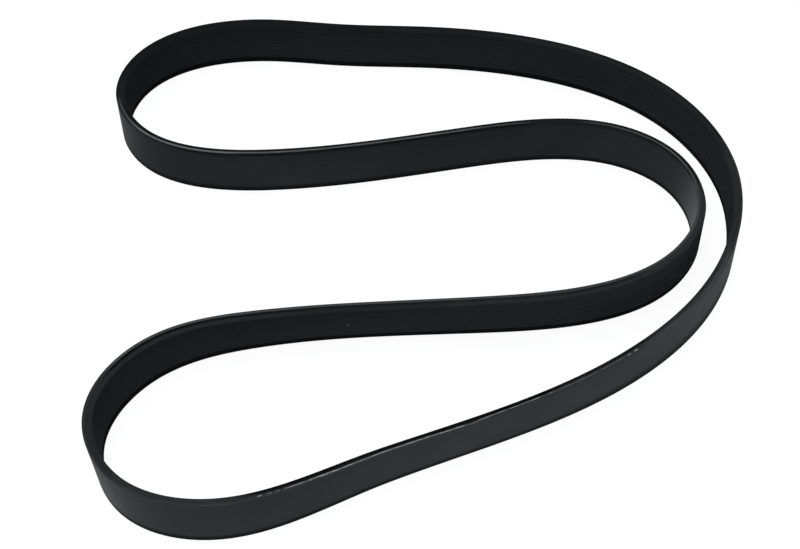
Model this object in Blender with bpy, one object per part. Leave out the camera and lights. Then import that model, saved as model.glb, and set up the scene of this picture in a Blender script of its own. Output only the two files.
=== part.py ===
"""A ribbed serpentine belt, standing on one cut edge in the loose loop that it springs into."""

import math

import bmesh
import bpy
import numpy as np

# Section of the belt, in metres: a flat back with ribs on the inside of the loop
RIB_COUNT = 8
RIB_PITCH = 0.00356
RIB_HEIGHT = 0.0024
RIB_ANGLE = math.radians(40)
VALLEY_WIDTH = 0.0004
BACK_THICKNESS = 0.0018
BACK_CORNER = 0.0002

# The tension cords lie this far under the back, and the belt's length is measured along them
CORD_DEPTH = 0.0010
BELT_LENGTH = 1.470

# Foot of the belt's back, clockwise seen from above: x and y in metres, then the outward lean in degrees
ROUTE = (
    (-0.1560, 0.0930, 0.0),
    (-0.1485, 0.1190, 0.0),
    (-0.0870, 0.1445, 1.0),
    (-0.0450, 0.1415, 0.5),
    (0.0060, 0.1395, 0.0),
    (0.1330, 0.0910, -1.0),
    (0.1550, 0.0445, -0.5),
    (0.1440, -0.0150, -1.5),
    (0.1005, -0.0620, 0.5),
    (-0.0100, -0.1140, 2.5),
    (-0.0215, -0.1190, 1.5),
    (-0.0955, -0.1455, -3.5),
    (-0.1355, -0.1325, -1.0),
    (-0.1500, -0.0995, 4.5),
    (-0.1285, -0.0600, 3.5),
    (-0.0795, -0.0405, -3.0),
    (0.0255, -0.0320, -4.0),
    (0.1250, 0.0000, 1.0),
    (0.1330, 0.0175, 1.0),
    (0.1260, 0.0490, 1.0),
    (0.1075, 0.0645, 0.5),
    (0.0235, 0.0670, 0.0),
    (-0.0635, 0.0530, 0.0),
    (-0.1475, 0.0730, 0.0),
)

# The section is repeated at these stations, which close up where the belt bends
STATIONS = 132
FINE_SAMPLES = 4000
SHARE_BY_BENDING = 0.5

# Edges that turn more than this stay crisp
CREASE_ANGLE = math.radians(15)

RUBBER_COLOUR = (0.012, 0.013, 0.015, 1.0)
RUBBER_ROUGHNESS = 0.55


def clear_objects():
    """Remove the objects that the scene starts with."""
    for item in list(bpy.data.objects):
        bpy.data.objects.remove(item, do_unlink=True)


def rubber_material():
    """Make the matt black rubber."""
    material = bpy.data.materials.new("belt_rubber")
    material.use_nodes = True
    shader = material.node_tree.nodes["Principled BSDF"]
    shader.inputs["Base Color"].default_value = RUBBER_COLOUR
    shader.inputs["Roughness"].default_value = RUBBER_ROUGHNESS
    shader.inputs["Metallic"].default_value = 0.0
    return material


def belt_section():
    """Return the section's outline as (depth under the back, height above the floor) pairs.

    The outline starts at the foot of the back, goes up the back, over the upper cut edge and
    down the ribs. The belt is cut through the middle of two valleys, so each cut edge is only
    as thick as the back.
    """
    width = RIB_COUNT * RIB_PITCH
    total_depth = BACK_THICKNESS + RIB_HEIGHT
    root = VALLEY_WIDTH / 2
    crest = root + RIB_HEIGHT * math.tan(RIB_ANGLE / 2)
    outline = [
        (BACK_CORNER, 0.0),
        (0.0, BACK_CORNER),
        (0.0, width - BACK_CORNER),
        (BACK_CORNER, width),
        (BACK_THICKNESS, width),
    ]
    for rib in range(RIB_COUNT):
        upper_valley = width - rib * RIB_PITCH
        lower_valley = upper_valley - RIB_PITCH
        outline.append((BACK_THICKNESS, upper_valley - root))
        outline.append((total_depth, upper_valley - crest))
        outline.append((total_depth, lower_valley + crest))
        outline.append((BACK_THICKNESS, lower_valley + root))
    outline.append((BACK_THICKNESS, 0.0))
    return outline


def closed_spline(rows, samples):
    """Sample the closed cubic spline through the rows, at equal steps of its straight-line length.

    The bending of each cubic runs on into the next one, which is the curve that a springy strip
    takes between the places where it is held. The bending at the rows solves one linear system.
    """
    count = len(rows)
    here = np.arange(count)
    before = here - 1
    after = (here + 1) % count
    gap = np.linalg.norm(rows[after, :2] - rows[:, :2], axis=1)
    slope = (rows[after] - rows) / gap[:, None]
    system = np.zeros((count, count))
    system[here, here] = 2 * (gap[before] + gap)
    system[here, before] = gap[before]
    system[here, after] = gap
    bending = np.linalg.solve(system, 6 * (slope - slope[before]))

    knots = np.concatenate(([0.0], np.cumsum(gap)))
    way = np.arange(samples) / samples * knots[-1]
    span = np.searchsorted(knots, way, side="right") - 1
    far = ((way - knots[span]) / gap[span])[:, None]
    near = 1 - far
    chord = near * rows[span] + far * rows[after[span]]
    bow = (near**3 - near) * bending[span] + (far**3 - far) * bending[after[span]]
    return chord + bow * gap[span, None] ** 2 / 6


def belt_route():
    """Return each station's foot point, its direction out of the loop and its lean.

    The route is scaled until the line of the cords is BELT_LENGTH long: a closed line that runs
    at a depth d inside another is shorter by 2 pi d.
    """
    samples = closed_spline(np.array(ROUTE), FINE_SAMPLES)
    step = np.roll(samples[:, :2], -1, axis=0) - samples[:, :2]
    step_length = np.linalg.norm(step, axis=1)
    back_length = BELT_LENGTH + 2 * math.pi * CORD_DEPTH
    foot = samples[:, :2] * back_length / step_length.sum()

    heading = np.arctan2(step[:, 1], step[:, 0])
    turn = np.roll(heading, -1) - heading
    turn = np.abs((turn + math.pi) % (2 * math.pi) - math.pi)
    by_way = np.cumsum(step_length) / step_length.sum()
    by_bending = np.cumsum(turn) / turn.sum()
    share = (1 - SHARE_BY_BENDING) * by_way + SHARE_BY_BENDING * by_bending
    pick = np.searchsorted(share, np.arange(STATIONS) / STATIONS)

    along = np.roll(foot, -1, axis=0) - np.roll(foot, 1, axis=0)
    along /= np.linalg.norm(along, axis=1)[:, None]
    outward = np.column_stack((-along[:, 1], along[:, 0]))
    lean = np.radians(samples[:, 2])
    return foot[pick], outward[pick], lean[pick]


def belt_points():
    """Return the belt's points as a grid: station, place in the section, x y z.

    A lean shifts each point outwards by its height times the lean's tangent, so both cut edges
    stay level. The loop is then centred over the origin.
    """
    foot, outward, lean = belt_route()
    depth, height = np.array(belt_section()).T
    shift = height[None, :] * np.tan(lean)[:, None] - depth[None, :]
    points = np.empty(shift.shape + (3,))
    points[..., :2] = foot[:, None, :] + outward[:, None, :] * shift[..., None]
    points[..., 2] = height
    low = points.min(axis=(0, 1))
    high = points.max(axis=(0, 1))
    points[..., :2] -= (low[:2] + high[:2]) / 2
    return points


def make_belt(name, material):
    """Join the section's outline from station to station into one closed belt."""
    points = belt_points()
    stations, places = points.shape[:2]
    shape = bmesh.new()
    rings = [[shape.verts.new(point) for point in ring] for ring in points]
    for station in range(stations):
        ring = rings[station]
        following = rings[(station + 1) % stations]
        for place in range(places):
            beside = (place + 1) % places
            shape.faces.new((ring[place], ring[beside], following[beside], following[place]))
    bmesh.ops.recalc_face_normals(shape, faces=shape.faces)

    mesh = bpy.data.meshes.new(name)
    shape.to_mesh(mesh)
    shape.free()
    mesh.shade_smooth()
    mesh.set_sharp_from_angle(angle=CREASE_ANGLE)
    mesh.materials.append(material)
    belt = bpy.data.objects.new(name, mesh)
    bpy.context.scene.collection.objects.link(belt)
    return belt


def main():
    clear_objects()
    make_belt("serpentine_belt", rubber_material())


main()
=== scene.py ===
# %% [markdown]
# # A serpentine belt, from one line on the floor to black rubber
#
# The real object is a flat rubber band without an end. It drives the pumps and the generator at the
# front of a car's engine. Its back is smooth, its inside has eight lengthwise ribs, and it is stood
# here on its cut edge, in the loose loop that it springs into when nothing holds it.
#
# The plan of this lesson is: load the engineering model, place the camera, work out the belt as one
# surface on a grid, give the back, the cut edges and the ribs a finish each, and light the room.

import math

import bpy
import numpy as np
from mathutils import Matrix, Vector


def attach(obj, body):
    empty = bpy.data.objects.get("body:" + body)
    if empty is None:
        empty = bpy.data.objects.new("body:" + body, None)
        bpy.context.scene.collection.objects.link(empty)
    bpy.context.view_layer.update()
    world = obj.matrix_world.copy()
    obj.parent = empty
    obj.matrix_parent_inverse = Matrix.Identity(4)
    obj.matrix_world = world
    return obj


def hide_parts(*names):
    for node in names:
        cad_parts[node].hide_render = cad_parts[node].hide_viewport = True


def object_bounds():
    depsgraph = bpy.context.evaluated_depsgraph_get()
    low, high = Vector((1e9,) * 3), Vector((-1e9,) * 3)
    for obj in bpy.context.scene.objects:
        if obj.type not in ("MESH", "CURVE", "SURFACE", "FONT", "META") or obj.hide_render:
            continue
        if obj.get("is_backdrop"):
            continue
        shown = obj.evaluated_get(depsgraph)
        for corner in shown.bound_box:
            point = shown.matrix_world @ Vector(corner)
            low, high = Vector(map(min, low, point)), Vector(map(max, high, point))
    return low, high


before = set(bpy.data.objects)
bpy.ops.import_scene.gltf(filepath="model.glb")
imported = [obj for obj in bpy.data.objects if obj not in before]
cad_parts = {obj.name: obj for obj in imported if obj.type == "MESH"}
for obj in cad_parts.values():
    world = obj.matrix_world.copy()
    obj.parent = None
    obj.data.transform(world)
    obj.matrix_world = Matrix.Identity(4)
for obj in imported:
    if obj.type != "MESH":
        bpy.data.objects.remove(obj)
cad_low, cad_high = (np.array(end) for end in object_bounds())
print("engineering model, in mm:", (1000 * (cad_high - cad_low)).round(1))

# %% [markdown]
# ## The camera
#
# A picture of a loop on a floor tells where the camera stood: circles turn into ellipses, and what
# is near grows. The camera looks down at 54 degrees through a long lens, from 0.83 m away, so the
# far strand is only a little smaller than the near one. The lens is given by its focal length in
# pixels of an 800 pixel wide picture, and turned into millimetres on Blender's 36 mm sensor.

# %% Place the camera
IMAGE_WIDTH = 800
FOCAL_PIXELS = 1700
SENSOR_WIDTH_MM = 36
CAMERA_ELEVATION = math.radians(54)
CAMERA_DISTANCE = 0.8326
NEAREST_SEEN = 0.01
LOOK_AT = np.array((-0.01114, -0.0005, 0.0))

camera_data = bpy.data.cameras.new("camera")
camera_data.sensor_fit = "HORIZONTAL"
camera_data.sensor_width = SENSOR_WIDTH_MM
camera_data.lens = FOCAL_PIXELS / IMAGE_WIDTH * camera_data.sensor_width
camera_data.clip_start = NEAREST_SEEN
camera = bpy.data.objects.new("camera", camera_data)
towards_camera = np.array((0.0, -math.cos(CAMERA_ELEVATION), math.sin(CAMERA_ELEVATION)))
camera.location = LOOK_AT + towards_camera * CAMERA_DISTANCE
camera.rotation_euler = (math.pi / 2 - CAMERA_ELEVATION, 0, 0)
bpy.context.scene.collection.objects.link(camera)
bpy.context.scene.camera = camera
print("lens", round(camera_data.lens, 1), "mm")

# %% [markdown]
# ## From light to tones
#
# A filmic view squeezes bright light, so a white floor would come out grey, or else so bright that
# it eats into the outline of a black part. The standard view shows the light as it is: white is
# white, and where the belt covers half of a pixel, that pixel is halfway between the two.

# %% Choose the view
bpy.context.scene.view_settings.view_transform = "Standard"
print("view:", bpy.context.scene.view_settings.view_transform)

# %% [markdown]
# ## The belt's line on the floor
#
# The foot of the belt's back is one closed line. It could be built from arcs and straights, but a
# springy band has no such joins: its bend changes little by little. A cubic spline through a few
# points does the same, because its bending runs on from each piece into the next.
#
# Each row below is a place on the floor in metres, clockwise seen from above, and how far the band
# leans outwards there, in degrees.

# %% Write down the line
ROUTE = np.array((
    (-0.1560, 0.0930, 0.0),
    (-0.1485, 0.1190, 0.0),
    (-0.0870, 0.1445, 1.0),
    (-0.0450, 0.1415, 0.5),
    (0.0060, 0.1395, 0.0),
    (0.1330, 0.0910, -1.0),
    (0.1550, 0.0445, -0.5),
    (0.1440, -0.0150, -1.5),
    (0.1005, -0.0620, 0.5),
    (-0.0100, -0.1140, 2.5),
    (-0.0215, -0.1190, 1.5),
    (-0.0955, -0.1455, -3.5),
    (-0.1355, -0.1325, -1.0),
    (-0.1500, -0.0995, 4.5),
    (-0.1285, -0.0600, 3.5),
    (-0.0795, -0.0405, -3.0),
    (0.0255, -0.0320, -4.0),
    (0.1250, 0.0000, 1.0),
    (0.1330, 0.0175, 1.0),
    (0.1260, 0.0490, 1.0),
    (0.1075, 0.0645, 0.5),
    (0.0235, 0.0670, 0.0),
    (-0.0635, 0.0530, 0.0),
    (-0.1475, 0.0730, 0.0),
))
CORD_DEPTH = 0.0010
BELT_LENGTH = 1.470
SPLINE_SAMPLES = 8000


def closed_spline(rows, samples):
    """Sample the closed cubic spline through the rows.

    Between two rows the value is the straight line between them plus a bow. The bow is a cubic
    that is zero at both rows, and its bending there solves one linear system for the whole loop.
    """
    count = len(rows)
    here = np.arange(count)
    before, after = here - 1, (here + 1) % count
    gap = np.linalg.norm(rows[after, :2] - rows[:, :2], axis=1)
    slope = (rows[after] - rows) / gap[:, None]
    system = np.zeros((count, count))
    system[here, here] = 2 * (gap[before] + gap)
    system[here, before] = gap[before]
    system[here, after] = gap
    bending = np.linalg.solve(system, 6 * (slope - slope[before]))
    knots = np.concatenate(([0.0], np.cumsum(gap)))
    way = np.arange(samples) / samples * knots[-1]
    span = np.searchsorted(knots, way, side="right") - 1
    far = ((way - knots[span]) / gap[span])[:, None]
    near = 1 - far
    bow = (near**3 - near) * bending[span] + (far**3 - far) * bending[after[span]]
    return near * rows[span] + far * rows[after[span]] + bow * gap[span, None] ** 2 / 6


line = closed_spline(ROUTE, SPLINE_SAMPLES)
step_length = np.linalg.norm(np.roll(line[:, :2], -1, axis=0) - line[:, :2], axis=1)
back_length = BELT_LENGTH + 2 * math.pi * CORD_DEPTH
line[:, :2] *= back_length / step_length.sum()
step_length *= back_length / step_length.sum()
print("the back's line is", round(1000 * step_length.sum(), 1), "mm long")

# %% [markdown]
# ## Even stations along the line
#
# The surface will be a grid: the belt's section, repeated at stations along the line. Even steps
# keep the grid's cells alike, so a highlight glides over them. At each station the way out of the
# loop is the line's direction turned a quarter to the left, because the line runs clockwise.

# %% Space the stations
STATIONS = 680

travelled = np.concatenate(([0.0], np.cumsum(step_length)))
station_way = np.arange(STATIONS) / STATIONS * back_length
closed_line = np.concatenate((line, line[:1]))
foot_x, foot_y, lean_degrees = (np.interp(station_way, travelled, column) for column in closed_line.T)
foot = np.column_stack((foot_x, foot_y))
along = np.roll(foot, -1, axis=0) - np.roll(foot, 1, axis=0)
along /= np.linalg.norm(along, axis=1)[:, None]
outward = np.column_stack((-along[:, 1], along[:, 0]))
lean = np.tan(np.radians(lean_degrees))
print(STATIONS, "stations,", round(1000 * back_length / STATIONS, 2), "mm apart")

# %% [markdown]
# ## The section
#
# Cut through, the belt is a flat back with a comb of ribs. A maker grinds or moulds the ribs, so
# no corner is sharp: each one becomes a small arc that touches both of its sides. The belt is
# sliced off a wide sleeve, and where the knife met one of the tension cords it left a shallow
# furrow, with the cord's round side standing up in the middle of it.
#
# The section could be drawn point by point. It is shorter and truer to write its corners and let
# one function round them all at once.

# %% Round a section's corners
ARC_POINTS = 3


def round_corners(corners, radii, arc_points):
    """Replace each corner of a closed outline by an arc that touches both sides.

    The arc starts before the corner by its radius times the tangent of half the turn. Its centre
    lies one radius to the inside, and its points are the start turned about that centre.
    """
    coming = corners - np.roll(corners, 1, axis=0)
    coming /= np.linalg.norm(coming, axis=1)[:, None]
    going = np.roll(coming, -1, axis=0)
    cross = coming[:, 0] * going[:, 1] - coming[:, 1] * going[:, 0]
    turn = np.arctan2(cross, (coming * going).sum(axis=1))
    start = corners - coming * (radii * np.tan(np.abs(turn) / 2))[:, None]
    side = np.column_stack((-coming[:, 1], coming[:, 0])) * np.sign(turn)[:, None]
    centre = start + side * radii[:, None]
    angle = turn[:, None] * np.linspace(0, 1, arc_points)
    arm = (start - centre)[:, None, :]
    turned_x = arm[..., 0] * np.cos(angle) - arm[..., 1] * np.sin(angle)
    turned_y = arm[..., 0] * np.sin(angle) + arm[..., 1] * np.cos(angle)
    return centre[:, None, :] + np.stack((turned_x, turned_y), axis=-1)


print("each corner gets", ARC_POINTS, "points")

# %% Write the section's corners
RIB_COUNT = 8
RIB_PITCH = 0.00356
RIB_HEIGHT = 0.0024
RIB_ANGLE = math.radians(40)
VALLEY_WIDTH = 0.0004
BACK_THICKNESS = 0.0018
WIDTH = RIB_COUNT * RIB_PITCH
TOTAL_DEPTH = BACK_THICKNESS + RIB_HEIGHT

BACK_RADIUS = 0.00028
CREST_RADIUS = 0.00035
VALLEY_RADIUS = 0.00018
KNIFE_RADIUS = 0.00006
FURROW_WIDTH = 0.0009
FURROW_SLOPE = 0.00012
FURROW_DEPTH = 0.00014
CORD_SUNK = 0.00002
CORD_RADIUS = 0.00025


def cut_edge(height, inwards):
    """Corners of a cut edge, from the back towards the ribs, and their radii."""
    near = CORD_DEPTH - FURROW_WIDTH / 2
    far = CORD_DEPTH + FURROW_WIDTH / 2
    furrow = height + inwards * FURROW_DEPTH
    corners = [
        (near, height),
        (near + FURROW_SLOPE, furrow),
        (CORD_DEPTH, height + inwards * CORD_SUNK),
        (far - FURROW_SLOPE, furrow),
        (far, height),
        (BACK_THICKNESS, height),
    ]
    return corners, [KNIFE_RADIUS, KNIFE_RADIUS, CORD_RADIUS, KNIFE_RADIUS, KNIFE_RADIUS, KNIFE_RADIUS]


def rib_comb():
    """Corners of the ribs from the upper cut edge down: valley, crest, crest, valley for each."""
    crest = VALLEY_WIDTH / 2 + RIB_HEIGHT * math.tan(RIB_ANGLE / 2)
    one_rib = np.array((
        (BACK_THICKNESS, -VALLEY_WIDTH / 2),
        (TOTAL_DEPTH, -crest),
        (TOTAL_DEPTH, crest - RIB_PITCH),
        (BACK_THICKNESS, VALLEY_WIDTH / 2 - RIB_PITCH),
    ))
    tops = WIDTH - np.arange(RIB_COUNT) * RIB_PITCH
    comb = one_rib[None] + np.stack((np.zeros(RIB_COUNT), tops), axis=-1)[:, None]
    radii = np.tile((VALLEY_RADIUS, CREST_RADIUS, CREST_RADIUS, VALLEY_RADIUS), RIB_COUNT)
    radii[[0, -1]] = KNIFE_RADIUS
    return comb.reshape(-1, 2), radii


upper_edge, upper_radii = cut_edge(WIDTH, -1)
lower_edge, lower_radii = cut_edge(0.0, 1)
comb, comb_radii = rib_comb()
corners = np.concatenate(([(0.0, 0.0), (0.0, WIDTH)], upper_edge, comb, lower_edge[::-1]))
radii = np.concatenate(([BACK_RADIUS] * 2, upper_radii, comb_radii, lower_radii[::-1]))
print(len(corners), "corners,", round(1000 * WIDTH, 2), "mm wide,", round(1000 * TOTAL_DEPTH, 2), "mm thick")

# %% Put the section's points in order
BACK_POINTS = 9
BACK_MARGIN = 0.0006

arcs = round_corners(corners, radii, ARC_POINTS)
back_heights = np.linspace(BACK_MARGIN, WIDTH - BACK_MARGIN, BACK_POINTS)
back_line = np.column_stack((np.zeros(BACK_POINTS), back_heights))
section = np.concatenate((arcs[0], back_line, arcs[1:].reshape(-1, 2)))
depth, height = section.T
section_step = np.linalg.norm(np.roll(section, -1, axis=0) - section, axis=1)
around = np.concatenate(([0.0], np.cumsum(section_step)))
print("section:", len(section), "points,", round(1000 * around[-1], 1), "mm round")

# %% [markdown]
# ## The surface
#
# Every point of the belt is its station's foot, moved along the way out of the loop. The move is
# the height times the lean's slope, less the depth under the back, so both cut edges stay level
# and the belt stands flat. All points are worked out at once, as arrays, with no loop over them.
#
# A knife never runs dead true, so the upper cut edge wanders by a few hundredths of a millimetre,
# in slow waves that close on themselves round the loop. The engineering model is faceted, and its
# facets cut the bends a little short, so the finished surface is fitted into the same box.

# %% Work out the grid of points
KNIFE_WANDER = 0.00003
WANDER_FADE = 0.1
WAVE_COUNTS = (7, 16, 37)
WAVE_STARTS = (0.4, 2.1, 4.4)


def slow_waves(way, counts, starts):
    """The mean of sines that each fit the loop a whole number of times, between -1 and 1."""
    phase = 2 * math.pi * way[:, None] / back_length * np.array(counts) + np.array(starts)
    return np.sin(phase).mean(axis=1)


shift = height[None, :] * lean[:, None] - depth[None, :]
points = np.empty(shift.shape + (3,))
points[..., :2] = foot[:, None, :] + outward[:, None, :] * shift[..., None]
points[..., 2] = height
upper_share = np.clip((height / WIDTH - (1 - WANDER_FADE)) / WANDER_FADE, 0, 1)
wander = slow_waves(station_way, WAVE_COUNTS, WAVE_STARTS) - 1
points[..., 2] += KNIFE_WANDER * wander[:, None] * upper_share[None, :]
print("grid of", points.shape[:2], "points")

# %% Fit the grid into the engineering model's box
lowest = points.min(axis=(0, 1))
highest = points.max(axis=(0, 1))


def fit_to_model(places):
    """Move places, seen from above, from the grid's own box into the engineering model's box.

    The middle of the grid's box comes off, and the rest is stretched by the two boxes' ratio.
    """
    return (places - (lowest + highest)[:2] / 2) * ((cad_high - cad_low) / (highest - lowest))[:2]


points[..., :2] = fit_to_model(points[..., :2])
print("stretched by", ((cad_high - cad_low) / (highest - lowest))[:2].round(5))

# %% [markdown]
# ## From a grid to a mesh
#
# The faces join each point to its neighbours along the belt and round the section, and the last
# row joins the first again, so the surface has no open border. The belt also gets a UV map in
# metres: U runs along the belt and V round its section, so a finish can follow the surface.

# %% Number the faces and choose their finishes
BACK_COVER, CUT_EDGE, RIBS = range(3)
JUST_OVER = 1.01


def grid_faces(rows, columns):
    """Four corners for each cell of a grid that is closed both ways, as point numbers."""
    row, column = np.meshgrid(np.arange(rows), np.arange(columns), indexing="ij")
    next_row, next_column = (row + 1) % rows, (column + 1) % columns
    cell = (row * columns + column, row * columns + next_column,
            next_row * columns + next_column, next_row * columns + column)
    return np.stack(cell, axis=-1).reshape(-1, 4)


def section_finish():
    """Which finish each strip of the section has, from the middle of the strip."""
    middle_depth = (depth + np.roll(depth, -1)) / 2
    middle_height = (height + np.roll(height, -1)) / 2
    from_edge = np.minimum(middle_height, WIDTH - middle_height)
    finish = np.full(len(section), RIBS)
    finish[(middle_depth < BACK_THICKNESS) & (from_edge < FURROW_DEPTH * JUST_OVER)] = CUT_EDGE
    finish[middle_depth < BACK_RADIUS / 2] = BACK_COVER
    return finish


rows, columns = points.shape[:2]
faces = grid_faces(rows, columns)
print(len(faces), "faces; strips of back, cut edge and ribs:", np.bincount(section_finish()))

# %% Make the mesh
mesh = bpy.data.meshes.new("belt_rubber")
mesh.from_pydata(points.reshape(-1, 3), [], faces)
mesh.polygons.foreach_set("material_index", np.tile(section_finish(), rows).astype(np.int32))
mesh.polygons.foreach_set("use_smooth", np.ones(len(faces), bool))

u_edges = np.arange(rows + 1) / rows * back_length
u_low, v_low = np.meshgrid(u_edges[:-1], around[:-1], indexing="ij")
u_high, v_high = np.meshgrid(u_edges[1:], around[1:], indexing="ij")
corner_uv = np.stack((u_low, v_low, u_low, v_high, u_high, v_high, u_high, v_low), axis=-1)
uv_map = mesh.uv_layers.new(name="along_and_around")
uv_map.data.foreach_set("uv", corner_uv.astype(np.float32).ravel())
mesh.update()

belt = bpy.data.objects.new("belt_rubber", mesh)
bpy.context.scene.collection.objects.link(belt)
print("belt mesh:", len(mesh.polygons) * 2, "triangles")

# %% [markdown]
# ## Facts that the finishes read
#
# A finish often depends on where it is on the part: the knife cut shows layers, and it is paler in
# one place than in another. The mesh can carry such facts as named numbers on its points, and a
# shader reads them by name. That keeps a pattern on the rubber, whichever way the belt is turned.
#
# The first fact is how far over the upper edge a point lies, in millimetres: below zero down the
# back, zero at the arris, then the depth under the back as far as the first rib's crest, and on
# down the ribs.

# %% Measure each point's place over the upper edge
def put_on_points(name, values):
    """Store one number on each point of the belt mesh under a name."""
    attribute = mesh.attributes.new(name, "FLOAT", "POINT")
    whole = np.broadcast_to(values, (rows, columns))
    attribute.data.foreach_set("value", whole.astype(np.float32).ravel())


TOLERANCE = 1e-6

arris = len(arcs[0]) + BACK_POINTS + ARC_POINTS // 2
first_crest = arris + np.argmax(depth[arris:] > TOTAL_DEPTH - TOLERANCE)
over_edge = depth.copy()
over_edge[:arris] = height[:arris] - WIDTH
over_edge[first_crest:] = TOTAL_DEPTH + around[first_crest:-1] - around[first_crest]
put_on_points("over_edge_mm", 1000 * over_edge[None, :])
crest_way = around[first_crest] - around[arris]
print("the first crest starts", round(1000 * crest_way, 2), "mm from the arris")

# %% [markdown]
# ### Bands of the cut
#
# The knife did not leave one even face. Along the belt there are stretches where the cover's cut is pale, and
# where the first rib's flank is as grey as the cut. Each band has its own reach over the edge, a colour, and
# the stretches where it shows. Some bands are painted shade, a near-black that only darkens what is there:
# the gum, the valley beside the first rib, which turns black in places, the first crest, or the back close
# under the arris.
#
# A band's strength is worked out at each station, and put on the points as one more fact.

# %% Name the bands
LAYER_CUT = (0.098, 0.100, 0.102)
CORD_CUT = (0.138, 0.141, 0.144)
BARE_CUT = (0.270, 0.273, 0.278)
FLANK_CUT = (0.035, 0.036, 0.037)
# The near-black below is painted shade, for the bands that stand for shade
PAINTED_SHADE = (0.0008, 0.0008, 0.0010)

# For each band: from and to in mm over the edge, colour, then (start, end, strength) in metres
EDGE_BANDS = {
    "cover_cut": (-0.30, 1.36, LAYER_CUT, (
        (0.365, 0.440, 0.26), (0.434, 0.508, 0.60), (0.502, 0.700, 0.34), (0.695, 0.770, 0.36),
        (0.765, 0.832, 0.30), (0.826, 0.928, 0.62), (0.920, 1.004, 0.54), (0.996, 1.088, 0.45),
        (1.080, 1.152, 0.62))),
    "wide_cut": (1.30, 2.95, LAYER_CUT, (
        (0.225, 0.380, 0.04), (0.434, 0.508, 0.70), (0.502, 0.562, 0.22), (0.695, 0.770, 0.06),
        (1.080, 1.150, 0.20))),
    "second_cut": (0.95, 1.38, LAYER_CUT, (
        (0.826, 0.928, 0.90), (0.920, 1.004, 0.72), (0.996, 1.088, 0.60))),
    "outer_cord_cut": (0.98, 2.05, CORD_CUT, (
        (1.148, 1.196, 0.55), (1.188, 1.218, 0.44), (1.247, 1.276, 0.45), (1.266, 1.356, 0.84),
        (1.346, 1.400, 0.86))),
    "inner_cord_cut": (0.86, 1.95, CORD_CUT, (
        (1.392, 1.456, 0.95), (1.450, 1.470, 0.50))),
    "bare_cut": (1.00, 1.55, BARE_CUT, (
        (1.158, 1.178, 0.18), (1.276, 1.296, 0.07), (1.394, 1.452, 0.36))),
    "flank_cut": (1.50, 4.40, FLANK_CUT, (
        (0.370, 0.440, 0.60), (0.434, 0.508, 1.00), (0.695, 0.770, 1.00), (0.764, 0.835, 0.60),
        (0.828, 0.925, 0.45), (0.915, 1.000, 0.20), (0.990, 1.090, 0.60), (1.080, 1.150, 0.80))),
    "cushion_shade": (2.22, 4.40, PAINTED_SHADE, (
        (0.502, 0.560, 0.75), (0.552, 0.702, 1.00))),
    "valley_shade": (1.62, 2.65, PAINTED_SHADE, (
        (0.825, 0.880, 0.97), (0.874, 0.928, 0.80), (0.920, 1.000, 0.40), (0.996, 1.085, 0.45))),
    "flank_shade": (2.30, 4.40, PAINTED_SHADE, (
        (0.010, 0.160, 0.42), (0.440, 0.505, 0.30), (1.150, 1.465, 0.60))),
    "cut_shade": (0.30, 2.40, PAINTED_SHADE, (
        (0.010, 0.160, 0.40), (0.150, 0.235, 0.22))),
    "crest_shade": (3.00, 5.60, PAINTED_SHADE, (
        (0.150, 0.235, 0.28), (0.225, 0.400, 0.13))),
    "arris_wide_shade": (-2.40, 0.42, PAINTED_SHADE, (
        (1.165, 1.430, 0.28),)),
    "arris_shade": (-1.00, 0.42, PAINTED_SHADE, (
        (0.010, 0.160, 0.40), (1.165, 1.215, 0.36), (1.246, 1.426, 1.00))),
}
print(len(EDGE_BANDS), "bands")

# %% Put the bands' strengths on the points
SOFT_END = 0.010


def strength_along(way, stretches):
    """The strongest of the stretches at each place.

    A stretch rises along SOFT_END and is half way up at its start, and it falls alike at its end.
    """
    start, end, strength = np.array(stretches).T
    rise = np.clip((way[:, None] - start) / SOFT_END + 0.5, 0, 1)
    fall = np.clip((end - way[:, None]) / SOFT_END + 0.5, 0, 1)
    return (strength * rise * fall).max(axis=1)


for band, (_, _, _, stretches) in EDGE_BANDS.items():
    put_on_points(band, strength_along(station_way, stretches)[:, None])
print("bands on the points:", ", ".join(EDGE_BANDS))

# %% [markdown]
# ### What changes along the belt
#
# Wax blooms more in one bend than in another, and in places more of it lies low on the back than high. The
# painted shade at the foot reaches higher at one bend, the bared cord wanders in the cut, and the painted
# light on the ribs is strong here and weak there. Each of these is a course: a few places in metres along the
# belt with the value there, and straight lines between them, which close round the loop.

# %% Write down the courses of the back
# How much wax there is, and how much more of it lies low than high
SHEEN_ALONG = np.array((
    (0.000, 0.52), (0.425, 0.42), (0.440, 0.47), (0.448, 0.54), (0.456, 0.65), (0.500, 0.68),
    (0.560, 0.67), (0.620, 0.65), (0.700, 0.67), (0.735, 0.76), (0.750, 0.81), (0.770, 1.02),
    (0.790, 0.66), (1.100, 0.80), (1.130, 1.85), (1.148, 1.45), (1.157, 1.00), (1.166, 0.66),
    (1.190, 0.59), (1.214, 0.60), (1.232, 0.40), (1.255, 0.34), (1.320, 0.40), (1.345, 0.55),
    (1.380, 0.55), (1.420, 0.35), (1.445, 0.36), (1.470, 0.45)))
LOW_BLOOM_ALONG = np.array((
    (0.430, 0.22), (0.500, 0.10), (0.520, 0.15), (0.540, 0.30), (1.150, 0.30), (1.190, 0.65),
    (1.235, 0.60), (1.270, 0.62), (1.310, 0.85), (1.350, 0.70), (1.390, 0.60), (1.425, 0.52),
    (1.445, 0.30)))
# How high the painted shade at the foot reaches, in metres
FOOT_REACH_ALONG = np.array((
    (0.430, 0.0145), (0.456, 0.0138), (0.474, 0.0116), (0.492, 0.0090), (0.510, 0.0085),
    (0.530, 0.0077), (0.550, 0.0065), (0.575, 0.0054), (0.605, 0.0056), (0.635, 0.0055),
    (0.665, 0.0053), (0.695, 0.0050), (0.750, 0.0044), (1.150, 0.0048), (1.205, 0.0041),
    (1.235, 0.0051), (1.445, 0.0051)))
print("the back's sheen is given at", len(SHEEN_ALONG), "places")

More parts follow.
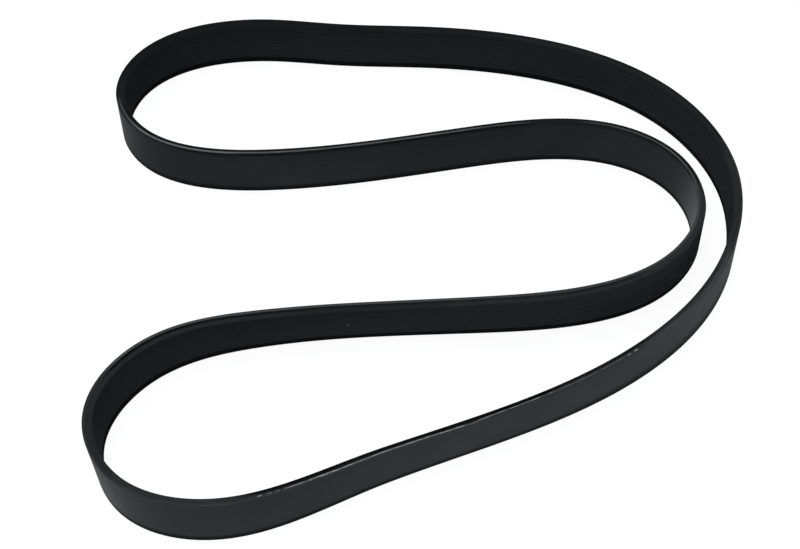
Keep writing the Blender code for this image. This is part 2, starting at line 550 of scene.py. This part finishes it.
# %% Write down the courses of the cut and the ribs, and put all courses on the points
# How far over the upper edge the bared cord's middle lies, in mm
CORD_MIDDLE_ALONG = np.array((
    (0.505, 1.25), (0.555, 1.46), (0.567, 1.78), (0.582, 1.78), (0.591, 1.42), (0.598, 1.02),
    (0.603, 1.25), (0.620, 1.41), (0.634, 1.36), (0.646, 1.14), (0.658, 1.02), (0.670, 1.12),
    (0.684, 1.13), (0.700, 1.02)))
# How much painted light the ribs get, how far under the crests the valleys' painted light is full, in mm, and
# how much of it there is
RIB_LIGHT_ALONG = np.array((
    (0.000, 0.70), (0.090, 0.79), (0.140, 0.98), (0.250, 1.08), (0.310, 1.31), (0.400, 1.18),
    (0.800, 0.84), (0.890, 0.87), (0.960, 1.04), (1.030, 1.29), (1.070, 1.46), (1.105, 1.85)))
VALLEY_LIGHT_DEPTH_ALONG = np.array((
    (0.000, 1.05), (0.400, 1.05), (0.800, 0.42), (1.080, 0.42), (1.110, 0.70)))
VALLEY_LIGHT_SHARE_ALONG = np.array((
    (0.000, 1.00), (0.400, 1.00), (0.800, 0.64), (1.080, 0.64), (1.110, 0.80)))
COURSES = {
    "sheen": SHEEN_ALONG,
    "low_bloom": LOW_BLOOM_ALONG,
    "foot_reach": FOOT_REACH_ALONG,
    "cord_middle_mm": CORD_MIDDLE_ALONG,
    "rib_light": RIB_LIGHT_ALONG,
    "valley_light_depth_mm": VALLEY_LIGHT_DEPTH_ALONG,
    "valley_light_share": VALLEY_LIGHT_SHARE_ALONG,
}
for name, course in COURSES.items():
    put_on_points(name, np.interp(station_way, *course.T, period=back_length)[:, None])
print("facts on the points:", [item.name for item in mesh.attributes if item.data_type == "FLOAT"])

# %% [markdown]
# ## Effects that the finishes share
#
# Grain, mottling, drawn streaks and the bands of the cut occur in more than one finish. Each is a
# small node group with named sockets, built once. A group puts out values, masks or colours, and
# the shader stays in the material.

# %% Helpers for building nodes
def new_group(name, inputs, outputs):
    """Make a shader node group from (name, kind) pairs and return it with its two ends."""
    group = bpy.data.node_groups.new(name, "ShaderNodeTree")
    for socket_name, kind in inputs:
        group.interface.new_socket(socket_name, in_out="INPUT", socket_type=kind)
    for socket_name, kind in outputs:
        group.interface.new_socket(socket_name, in_out="OUTPUT", socket_type=kind)
    return group, group.nodes.new("NodeGroupInput").outputs, group.nodes.new("NodeGroupOutput").inputs


def feed(tree, socket, value):
    """Link another node's output to a socket, or set the socket to a number or a colour."""
    if isinstance(value, bpy.types.NodeSocket):
        tree.links.new(value, socket)
    elif isinstance(value, tuple):
        socket.default_value = (*value, 1.0)
    else:
        socket.default_value = value


def calculate(tree, operation, *values):
    """Add a Math node whose inputs are numbers or sockets, and return its output."""
    node = tree.nodes.new("ShaderNodeMath")
    node.operation = operation
    for socket, value in zip(node.inputs, values):
        feed(tree, socket, value)
    return node.outputs[0]


def noise(tree, place, scale, detail, roughness=0.5):
    """Add a Noise Texture on a place, and return its value."""
    node = tree.nodes.new("ShaderNodeTexNoise")
    for name, value in (("Vector", place), ("Scale", scale), ("Detail", detail), ("Roughness", roughness)):
        feed(tree, node.inputs[name], value)
    return node.outputs["Fac"]


def remap(tree, value, low, high, to_low=0.0, to_high=1.0):
    """Add a Map Range node with a smooth step, and return its output."""
    node = tree.nodes.new("ShaderNodeMapRange")
    node.interpolation_type = "SMOOTHSTEP"
    names = ("Value", "From Min", "From Max", "To Min", "To Max")
    for name, number in zip(names, (value, low, high, to_low, to_high)):
        feed(tree, node.inputs[name], number)
    return node.outputs["Result"]


def blend_colours(tree, share, first, second):
    """Mix two colours, given as triples or sockets, by a share."""
    node = tree.nodes.new("ShaderNodeMix")
    node.data_type = "RGBA"
    feed(tree, node.inputs["Factor"], share)
    colour_inputs = [socket for socket in node.inputs if socket.type == "RGBA"]
    for socket, colour in zip(colour_inputs, (first, second)):
        feed(tree, socket, colour)
    return next(socket for socket in node.outputs if socket.type == "RGBA")


def scale_colour(tree, colour, factor):
    """Multiply a colour by a number."""
    node = tree.nodes.new("ShaderNodeVectorMath")
    node.operation = "SCALE"
    feed(tree, node.inputs[0], colour)
    feed(tree, node.inputs["Scale"], factor)
    return node.outputs[0]


def use_group(tree, group, **inputs):
    """Place a node group, set its inputs, and return its outputs.

    An input's name has spaces where the word here has low lines.
    """
    node = tree.nodes.new("ShaderNodeGroup")
    node.node_tree = group
    for word, value in inputs.items():
        feed(tree, node.inputs[word.replace("_", " ")], value)
    return node.outputs


def fact(tree, name):
    """Read one of the belt's named numbers."""
    node = tree.nodes.new("ShaderNodeAttribute")
    node.attribute_name = name
    return node.outputs["Fac"]


print("helpers ready")

# %% [markdown]
# ### Moulded grain
#
# Rubber that was pressed against a steel mould copies its fine blasted surface. Two noises, one
# coarse and one fine, add up to that relief. It is far too fine to be modelled, so it is bump.

# %% Build the grain group
COARSE_GRAINS_PER_METRE = 1400.0
FINE_GRAINS_PER_METRE = 5200.0
FINE_SHARE = 0.35

grain_group, grain_in, grain_out = new_group(
    "moulded_grain", [("Place", "NodeSocketVector")], [("Height", "NodeSocketFloat")])
coarse = noise(grain_group, grain_in["Place"], COARSE_GRAINS_PER_METRE, detail=2.0, roughness=0.6)
fine = noise(grain_group, grain_in["Place"], FINE_GRAINS_PER_METRE, detail=1.0)
feed(grain_group, grain_out["Height"], calculate(grain_group, "MULTIPLY_ADD", fine, FINE_SHARE, coarse))
print("group:", grain_group.name)

# %% [markdown]
# ### Mottling
#
# Cured rubber is never one even black: wax blooms to the surface in soft patches, and hands press
# others away. A slow noise in the belt's own space gives a share between 0 and 1 for that.

# %% Build the mottling group
MOTTLE_LOW = 0.32
MOTTLE_HIGH = 0.68

mottle_group, mottle_in, mottle_out = new_group(
    "bloom_mottling",
    [("Place", "NodeSocketVector"), ("Patches per metre", "NodeSocketFloat")],
    [("Share", "NodeSocketFloat")])
patches = noise(mottle_group, mottle_in["Place"], mottle_in["Patches per metre"], detail=3.0)
feed(mottle_group, mottle_out["Share"], remap(mottle_group, patches, MOTTLE_LOW, MOTTLE_HIGH))
print("group:", mottle_group.name)

# %% [markdown]
# ### Drawn streaks
#
# The back is ground and the edges are sliced while the belt runs, so both carry faint streaks along
# its length. The UV map's U runs along the belt, but it starts anew where the loop closes. To
# hide that start, U is turned into an angle, and the noise is read on a circle: after one full
# loop the angle is back where it began.

# %% Build the streak group
STREAK_LOW = 0.3
STREAK_HIGH = 0.7

streak_group, streak_in, streak_out = new_group(
    "drawn_streaks",
    [("Along and around", "NodeSocketVector"), ("Streak length", "NodeSocketFloat"),
     ("Streak width", "NodeSocketFloat")],
    [("Share", "NodeSocketFloat")])
split = streak_group.nodes.new("ShaderNodeSeparateXYZ")
feed(streak_group, split.inputs[0], streak_in["Along and around"])
angle = calculate(streak_group, "MULTIPLY", split.outputs["X"], 2 * math.pi / back_length)
circle = calculate(streak_group, "DIVIDE", back_length / (2 * math.pi), streak_in["Streak length"])
on_circle = streak_group.nodes.new("ShaderNodeCombineXYZ")
for axis, wave in (("X", "COSINE"), ("Y", "SINE")):
    swing = calculate(streak_group, "MULTIPLY", calculate(streak_group, wave, angle), circle)
    feed(streak_group, on_circle.inputs[axis], swing)
across = calculate(streak_group, "DIVIDE", split.outputs["Y"], streak_in["Streak width"])
feed(streak_group, on_circle.inputs["Z"], across)
streaks = noise(streak_group, on_circle.outputs[0], scale=1.0, detail=1.0)
feed(streak_group, streak_out["Share"], remap(streak_group, streaks, STREAK_LOW, STREAK_HIGH))
print("group:", streak_group.name)

# %% [markdown]
# ### The bands of the cut
#
# This group lays the named bands over a ground colour, one after the other. Each band fades in and
# out across the edge, its strength comes from the fact on the points, and streaks make it uneven.
# A slow wander moves all bands to and fro a little, as the knife did. The second output says how
# much gloss is left, because a shaded or freshly cut band has none.

# %% Build the band group
BAND_SOFTNESS_MM = 0.18
BAND_WANDER_MM = 0.30
BAND_WEAKEST = 0.7

band_group, band_in, band_out = new_group(
    "cut_bands",
    [("Along and around", "NodeSocketVector"), ("Ground", "NodeSocketColor")],
    [("Color", "NodeSocketColor"), ("Gloss", "NodeSocketFloat")])
slow = use_group(band_group, streak_group, Along_and_around=band_in["Along and around"],
                 Streak_length=0.040, Streak_width=1.0)
uneven = use_group(band_group, streak_group, Along_and_around=band_in["Along and around"],
                   Streak_length=0.007, Streak_width=0.0008)
place = calculate(band_group, "MULTIPLY_ADD", slow["Share"], BAND_WANDER_MM, fact(band_group, "over_edge_mm"))
unevenness = remap(band_group, uneven["Share"], 0.0, 1.0, BAND_WEAKEST, 1.0)
colour, gloss = band_in["Ground"], 1.0
for band, (start, end, band_colour, _) in EDGE_BANDS.items():
    low, high = (limit + BAND_WANDER_MM / 2 for limit in (start, end))
    fades_in = remap(band_group, place, low - BAND_SOFTNESS_MM, low + BAND_SOFTNESS_MM)
    fades_out = remap(band_group, place, high - BAND_SOFTNESS_MM, high + BAND_SOFTNESS_MM, 1.0, 0.0)
    strength = calculate(band_group, "MULTIPLY", fact(band_group, band), unevenness)
    mask = calculate(band_group, "MULTIPLY", calculate(band_group, "MULTIPLY", fades_in, fades_out), strength)
    colour = blend_colours(band_group, mask, colour, band_colour)
    gloss = calculate(band_group, "MULTIPLY", gloss, calculate(band_group, "SUBTRACT", 1.0, mask))
feed(band_group, band_out["Color"], colour)
feed(band_group, band_out["Gloss"], gloss)
print("group:", band_group.name, "with", len(EDGE_BANDS), "bands")

# %% [markdown]
# ### The painted shade at the foot
#
# The belt stands in its own shadow, so the lowest few millimetres of both faces are painted almost black and
# their sheen is taken away: a painted shade. The belt's own Z tells how high a point is. At the right bend
# the painted shade reaches higher up the back, so that height is a fact on the points too.
#
# The group's second output says how low a point lies in the whole width, because bloom gathers low down and
# the ribs get more painted light there.

# %% Build the foot group
BLOOM_LOW = 0.002
BLOOM_HIGH = 0.030

foot_group, foot_in, foot_out = new_group(
    "height_tone",
    [("Place", "NodeSocketVector"), ("Black below", "NodeSocketFloat"), ("Plain above", "NodeSocketFloat")],
    [("Foot", "NodeSocketFloat"), ("Low", "NodeSocketFloat")])
split = foot_group.nodes.new("ShaderNodeSeparateXYZ")
feed(foot_group, split.inputs[0], foot_in["Place"])
# The first output is the share of painted shade: 1 at the foot, 0 where the plain surface starts.
foot_shade_share = remap(foot_group, split.outputs["Z"], foot_in["Black below"], foot_in["Plain above"], 1.0, 0.0)
feed(foot_group, foot_out["Foot"], foot_shade_share)
feed(foot_group, foot_out["Low"], remap(foot_group, split.outputs["Z"], BLOOM_LOW, BLOOM_HIGH, 1.0, 0.0))
print("group:", foot_group.name)

# %% [markdown]
# ## Starting a material
#
# All three finishes start alike: a Principled shader, the belt's own coordinates, the UV map, and
# a Bump node fed by the grain. Rubber's sheen is a thin waxy layer on a dull body, so the body has
# little gloss of its own and the shader's coat carries the sheen. The coat can be worn away where
# a mask says so, and a mask can't change a plain body's gloss so simply.

# %% Start a rubber material
def start_rubber(name, body_gloss, roughness, coat_roughness, bump_distance):
    """Make a Principled material with grain bump; return its tree, shader and both coordinates."""
    material = bpy.data.materials.new(name)
    material.use_nodes = True
    tree = material.node_tree
    shader = tree.nodes["Principled BSDF"]
    shader.inputs["Roughness"].default_value = roughness
    shader.inputs["Specular IOR Level"].default_value = body_gloss
    shader.inputs["Coat Roughness"].default_value = coat_roughness
    coordinates = tree.nodes.new("ShaderNodeTexCoord").outputs
    bump = tree.nodes.new("ShaderNodeBump")
    feed(tree, bump.inputs["Distance"], bump_distance)
    feed(tree, bump.inputs["Height"], use_group(tree, grain_group, Place=coordinates["Object"])["Height"])
    for name_of_normal in ("Normal", "Coat Normal"):
        feed(tree, shader.inputs[name_of_normal], bump.outputs["Normal"])
    return material, tree, shader.inputs, coordinates["Object"], coordinates["UV"]


print("a rubber's grain comes from the group", grain_group.name)

# %% [markdown]
# ## The back cover
#
# The back is the smoothest face: a satin black with a faint blue cast, softly mottled, with fine
# streaks along it. Its waxy sheen isn't the same everywhere: bends that were handled are polished.

# %% Finish the back cover
BACK_DARK = (0.0060, 0.0065, 0.0076)
BACK_LIGHT = (0.0094, 0.0100, 0.0113)
# The near-black of the painted shade at the foot; worn patches on the rib crests use it too
FOOT_BLACK = (0.0010, 0.0010, 0.0012)
BACK_SHEEN = 0.40
TONE_SPREAD = 0.16
STREAK_SHARE = 0.3
BACK_FOOT_BLACK = 0.0014

back_cover, tree, back, place, uv = start_rubber(
    "back_cover", body_gloss=0.08, roughness=0.6, coat_roughness=0.42, bump_distance=0.000012)
mottle = use_group(tree, mottle_group, Place=place, Patches_per_metre=38.0)["Share"]
streaks = use_group(tree, streak_group, Along_and_around=uv, Streak_length=0.05, Streak_width=0.0012)["Share"]
mottled = calculate(tree, "MULTIPLY", mottle, 1 - STREAK_SHARE)
tone = calculate(tree, "MULTIPLY_ADD", streaks, STREAK_SHARE, mottled)
plain_back = blend_colours(tree, tone, BACK_DARK, BACK_LIGHT)
bands = use_group(tree, band_group, Along_and_around=uv, Ground=plain_back)
by_height = use_group(tree, foot_group, Place=place, Black_below=BACK_FOOT_BLACK,
                      Plain_above=fact(tree, "foot_reach"))
# Painted shade: towards the foot the colour turns near-black, and the sheen below goes to nothing.
feed(tree, back["Base Color"], blend_colours(tree, by_height["Foot"], bands["Color"], FOOT_BLACK))
sheen = remap(tree, by_height["Foot"], 0.0, 1.0, BACK_SHEEN, 0.0)
for share, spread in ((tone, TONE_SPREAD), (by_height["Low"], fact(tree, "low_bloom"))):
    factor = calculate(tree, "MULTIPLY_ADD", calculate(tree, "SUBTRACT", share, 0.5), spread, 1.0)
    sheen = calculate(tree, "MULTIPLY", sheen, factor)
sheen = calculate(tree, "MULTIPLY", sheen, fact(tree, "sheen"))
feed(tree, back["Coat Weight"], calculate(tree, "MULTIPLY", sheen, bands["Gloss"]))
print("finish:", back_cover.name)

# %% [markdown]
# ## The cut edge
#
# The knife shows the belt's layers: the cover, the tension cord and the softer gum under the ribs.
# Between the bands the cut is a plain dark grey. Along one strand the knife bared the outermost
# cord, a pale twisted thread, and at both ends of that strand it only touched it here and there.
#
# The shortest dashes of bared cord are about two millimetres long, which is finer than the stations
# can show, so a node group works out each dash from U itself.

# %% Build the dash group
DASH_SOFT_END = 0.0012

dash_group, dash_in, dash_out = new_group(
    "bared_dash",
    [("Along and around", "NodeSocketVector"), ("Start", "NodeSocketFloat"), ("End", "NodeSocketFloat"),
     ("Strength", "NodeSocketFloat")],
    [("Level", "NodeSocketFloat")])
split = dash_group.nodes.new("ShaderNodeSeparateXYZ")
feed(dash_group, split.inputs[0], dash_in["Along and around"])
after_start = calculate(dash_group, "SUBTRACT", split.outputs["X"], dash_in["Start"])
before_end = calculate(dash_group, "SUBTRACT", dash_in["End"], split.outputs["X"])
inside = calculate(dash_group, "MINIMUM", after_start, before_end)
share = remap(dash_group, inside, -DASH_SOFT_END / 2, DASH_SOFT_END / 2)
feed(dash_group, dash_out["Level"], calculate(dash_group, "MULTIPLY", share, dash_in["Strength"]))
print("group:", dash_group.name)

# %% Finish the cut edge
CUT_GROUND = (0.0085, 0.0090, 0.0098)
CUT_STREAK = (0.0050, 0.0052, 0.0058)
CORD_PALE = (0.44, 0.44, 0.45)
CORD_TWIST = 0.0013
CORD_HALF_WIDTH_MM = 0.45
CORD_FLAT_SHARE = 0.25
TWIST_DARKEST = 0.55
FRAY_DARKEST = 0.35
CUT_SHEEN = 0.10

# Where the cord is bared: start and end in metres along the belt, strength
BARED_CORD = (
    (0.5108, 0.5126, 1.00), (0.5148, 0.5168, 0.80), (0.5178, 0.5345, 0.22), (0.5345, 0.5580, 0.30),
    (0.5575, 0.5640, 0.45), (0.5635, 0.5840, 1.05), (0.5835, 0.5968, 0.60), (0.5965, 0.6002, 0.40),
    (0.6000, 0.6480, 0.90), (0.6478, 0.6600, 0.95), (0.6598, 0.6738, 1.45), (0.6736, 0.6845, 0.72),
    (0.6870, 0.6886, 0.32), (0.6905, 0.6925, 0.60), (0.6950, 0.6970, 0.75),
)


def bared_cord(tree, uv):
    """A mask of the bared cord: near the cord's own depth, inside a dash, darker in its twist."""
    level = 0.0
    for start, end, strength in BARED_CORD:
        dash = use_group(tree, dash_group, Along_and_around=uv, Start=start, End=end, Strength=strength)
        level = calculate(tree, "MAXIMUM", level, dash["Level"])
    off_middle = calculate(tree, "SUBTRACT", fact(tree, "over_edge_mm"), fact(tree, "cord_middle_mm"))
    near_cord = remap(tree, calculate(tree, "ABSOLUTE", off_middle),
                      CORD_FLAT_SHARE * CORD_HALF_WIDTH_MM, CORD_HALF_WIDTH_MM, 1.0, 0.0)
    split = tree.nodes.new("ShaderNodeSeparateXYZ")
    feed(tree, split.inputs[0], uv)
    slanted = calculate(tree, "ADD", split.outputs["X"], split.outputs["Y"])
    turns = calculate(tree, "DIVIDE", slanted, CORD_TWIST)
    wave = calculate(tree, "SINE", calculate(tree, "MULTIPLY", turns, 2 * math.pi))
    twist = remap(tree, wave, -1, 1, TWIST_DARKEST, 1.0)
    frayed = use_group(tree, streak_group, Along_and_around=uv,
                       Streak_length=0.004, Streak_width=0.0006)["Share"]
    fray = remap(tree, frayed, 0.0, 1.0, FRAY_DARKEST, 1.0)
    for factor in (level, twist, fray):
        near_cord = calculate(tree, "MULTIPLY", near_cord, factor)
    return near_cord


cut_finish, tree, cut, place, uv = start_rubber(
    "cut_edge", body_gloss=0.08, roughness=0.75, coat_roughness=0.5, bump_distance=0.000030)
streaks = use_group(tree, streak_group, Along_and_around=uv,
                    Streak_length=0.012, Streak_width=0.00012)["Share"]
ground = blend_colours(tree, streaks, CUT_GROUND, CUT_STREAK)
bands = use_group(tree, band_group, Along_and_around=uv, Ground=ground)
feed(tree, cut["Base Color"], blend_colours(tree, bared_cord(tree, uv), bands["Color"], CORD_PALE))
feed(tree, cut["Coat Weight"], calculate(tree, "MULTIPLY", bands["Gloss"], CUT_SHEEN))
print("finish:", cut_finish.name, "with", len(BARED_CORD), "dashes of bared cord")

# %% [markdown]
# ## The ribs
#
# The ribs are the darkest and dullest face: their rubber is filled with short fibres for grip. The valleys
# and the flanks are painted a little paler than the crests: painted light that evens out the shade that falls
# into the valleys. The ribs get more of it in some places along the belt, and low down. The first rib's flank
# lies open beside the cut, and it has a darker colour of its own without the painted light.
#
# One speck of lint lies on a rib's flank. It is a small ball of paleness in the belt's own space,
# around a place that is worked out just as the grid's points are.

# %% Place the lint
LINT_WAY = 0.9450
LINT_DEPTH = 0.00373
LINT_HEIGHT = 0.01334
LINT_GREY = (0.170, 0.174, 0.182)
LINT_RADIUS = 0.00052

lint_station = round(LINT_WAY / back_length * STATIONS)
lint_shift = LINT_HEIGHT * lean[lint_station] - LINT_DEPTH
lint_below = fit_to_model(foot[lint_station] + outward[lint_station] * lint_shift)
lint_place = (*lint_below, LINT_HEIGHT)
print("lint at", np.round(lint_place, 4))

# %% Finish the ribs
CREST_BLACK = (0.0184, 0.0190, 0.0204)
# The paler colour of the painted light in the valleys
VALLEY_PAINTED_LIGHT = (0.0456, 0.0466, 0.0488)
OPEN_FLANK = (0.0143, 0.0148, 0.0156)
OPEN_FLANK_MM = 4.4
FLANK_SOFT_MM = 0.3
WORN_SHARE = 0.22
RIB_LIGHT_HIGH = 0.75
RIB_LIGHT_GAIN_LOW = 0.5
RIB_FOOT_BLACK = 0.0010
RIB_FOOT_REACH = 0.0056
RIB_SHEEN = 0.04

ribs_finish, tree, ribs, place, uv = start_rubber(
    "ribs", body_gloss=0.05, roughness=0.8, coat_roughness=0.6, bump_distance=0.000025)
put_on_points("depth_mm", 1000 * depth[None, :])
crest_mm = 1000 * TOTAL_DEPTH
# Painted light: the valleys and flanks turn towards a paler colour, to even out the shade that falls into
# them.
lit_from = calculate(tree, "SUBTRACT", crest_mm, fact(tree, "valley_light_depth_mm"))
in_valley = remap(tree, fact(tree, "depth_mm"), lit_from, crest_mm, 1.0, 0.0)
in_valley = calculate(tree, "MULTIPLY", in_valley, fact(tree, "valley_light_share"))
past_flank = remap(tree, fact(tree, "over_edge_mm"),
                   OPEN_FLANK_MM - FLANK_SOFT_MM, OPEN_FLANK_MM + FLANK_SOFT_MM)
mottle = use_group(tree, mottle_group, Place=place, Patches_per_metre=60.0)["Share"]
fibres = use_group(tree, streak_group, Along_and_around=uv,
                   Streak_length=0.003, Streak_width=0.00025)["Share"]
worn = remap(tree, calculate(tree, "ADD", mottle, fibres), 0.0, 2.0, 0.0, WORN_SHARE)
crests = blend_colours(tree, worn, CREST_BLACK, FOOT_BLACK)
valleys_lit = blend_colours(tree, in_valley, crests, VALLEY_PAINTED_LIGHT)
by_height = use_group(tree, foot_group, Place=place, Black_below=RIB_FOOT_BLACK,
                      Plain_above=RIB_FOOT_REACH)
# Painted light along the belt, and more of it low down: it scales the whole ground colour of the ribs.
low_light = calculate(tree, "MULTIPLY_ADD", by_height["Low"], RIB_LIGHT_GAIN_LOW, RIB_LIGHT_HIGH)
amount = calculate(tree, "MULTIPLY", fact(tree, "rib_light"), low_light)
ground = blend_colours(tree, past_flank, OPEN_FLANK, scale_colour(tree, valleys_lit, amount))
bands = use_group(tree, band_group, Along_and_around=uv, Ground=ground)
from_lint = tree.nodes.new("ShaderNodeVectorMath")
from_lint.operation = "DISTANCE"
feed(tree, from_lint.inputs[0], place)
from_lint.inputs[1].default_value = lint_place
on_lint = remap(tree, from_lint.outputs["Value"], LINT_RADIUS / 2, LINT_RADIUS, 1.0, 0.0)
colour = blend_colours(tree, on_lint, bands["Color"], LINT_GREY)
# Painted shade: low down the ribs' colour turns near-black, and the coat goes with it.
feed(tree, ribs["Base Color"], blend_colours(tree, by_height["Foot"], colour, FOOT_BLACK))
sheen = remap(tree, by_height["Foot"], 0.0, 1.0, RIB_SHEEN, 0.0)
feed(tree, ribs["Coat Weight"], calculate(tree, "MULTIPLY", sheen, bands["Gloss"]))
print("finish:", ribs_finish.name)

# %% Give the belt its finishes and its place in the model
for material in (back_cover, cut_finish, ribs_finish):
    mesh.materials.append(material)
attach(belt, "root")
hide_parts("serpentine_belt")
print("belt finishes:", [material.name for material in mesh.materials])

# %% [markdown]
# ## The floor and the light
#
# A black part needs a white room: what the eye reads as its shape is the room's reflection in it.
# The floor is a plain pale sheet. The picture wants it almost white, and a floor that bright would
# flood the black rubber with light. So the floor is brighter for the camera than for the light
# that bounces off it, and the world behind it likewise. The Light Path node tells the two apart.

# %% Lay the floor
FLOOR_SIZE = 30.0
FLOOR_WHITE = (0.350, 0.360, 0.372)
GLOW_COLOUR = (0.968, 1.0, 1.035)
FLOOR_GLOW = 0.4
FLOOR_WHITE_TO_CAMERA = (0.18, 0.18, 0.18)
FLOOR_GLOW_TO_CAMERA = 0.92
WHITE = (1.0, 1.0, 1.0)

half = FLOOR_SIZE / 2
floor_corners = [(-half, -half, 0), (half, -half, 0), (half, half, 0), (-half, half, 0)]
floor_mesh = bpy.data.meshes.new("floor")
floor_mesh.from_pydata(floor_corners, [], [(0, 1, 2, 3)])
floor = bpy.data.objects.new("floor", floor_mesh)
bpy.context.scene.collection.objects.link(floor)
floor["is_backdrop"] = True

floor_material = bpy.data.materials.new("white_sheet")
floor_material.use_nodes = True
tree = floor_material.node_tree
tree.nodes.clear()
for_camera = tree.nodes.new("ShaderNodeLightPath").outputs["Is Camera Ray"]
sheet = tree.nodes.new("ShaderNodeBsdfDiffuse")
feed(tree, sheet.inputs["Color"], blend_colours(tree, for_camera, FLOOR_WHITE, FLOOR_WHITE_TO_CAMERA))
glow = tree.nodes.new("ShaderNodeEmission")
feed(tree, glow.inputs["Color"], blend_colours(tree, for_camera, GLOW_COLOUR, WHITE))
strength = calculate(tree, "MULTIPLY_ADD", for_camera, FLOOR_GLOW_TO_CAMERA - FLOOR_GLOW, FLOOR_GLOW)
feed(tree, glow.inputs["Strength"], strength)
both = tree.nodes.new("ShaderNodeAddShader")
tree.links.new(sheet.outputs[0], both.inputs[0])
tree.links.new(glow.outputs[0], both.inputs[1])
tree.links.new(both.outputs[0], tree.nodes.new("ShaderNodeOutputMaterial").inputs["Surface"])
floor_mesh.materials.append(floor_material)
print("floor:", FLOOR_SIZE, "m wide")

# %% Light the room
ROOM_COLOUR = (0.95, 0.975, 1.0)
ROOM_LIGHT = 0.44
ROOM_TO_CAMERA = 1.05

world = bpy.data.worlds.new("white_room")
world.use_nodes = True
tree = world.node_tree
for_camera = tree.nodes.new("ShaderNodeLightPath").outputs["Is Camera Ray"]
room = tree.nodes["Background"].inputs
feed(tree, room["Color"], blend_colours(tree, for_camera, ROOM_COLOUR, WHITE))
strength = calculate(tree, "MULTIPLY_ADD", for_camera, ROOM_TO_CAMERA - ROOM_LIGHT, ROOM_LIGHT)
feed(tree, room["Strength"], strength)
bpy.context.scene.world = world


def panel(name, place, size, power):
    """A square soft light at a place, turned to shine at the middle of the floor."""
    data = bpy.data.lights.new(name, "AREA")
    data.shape = "SQUARE"
    data.size = size
    data.energy = power
    data.color = ROOM_COLOUR
    light = bpy.data.objects.new(name, data)
    light.location = place
    across = math.hypot(place[0], place[1])
    light.rotation_euler = (math.atan2(across, place[2]), 0, math.atan2(place[0], -place[1]))
    bpy.context.scene.collection.objects.link(light)


panel("overhead_panel", place=(-0.2, 0.3, 1.2), size=1.2, power=7.2)
panel("front_panel", place=(-0.1, -1.1, 0.22), size=0.5, power=3.2)

# %% [markdown]
# ## The size
#
# The dressed belt has to stay as large as the engineering model, so both boxes are written down.

# %% Print the dressed model's box
low, high = (np.array(end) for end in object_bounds())
print("dressed model, in mm:", (1000 * (high - low)).round(2))
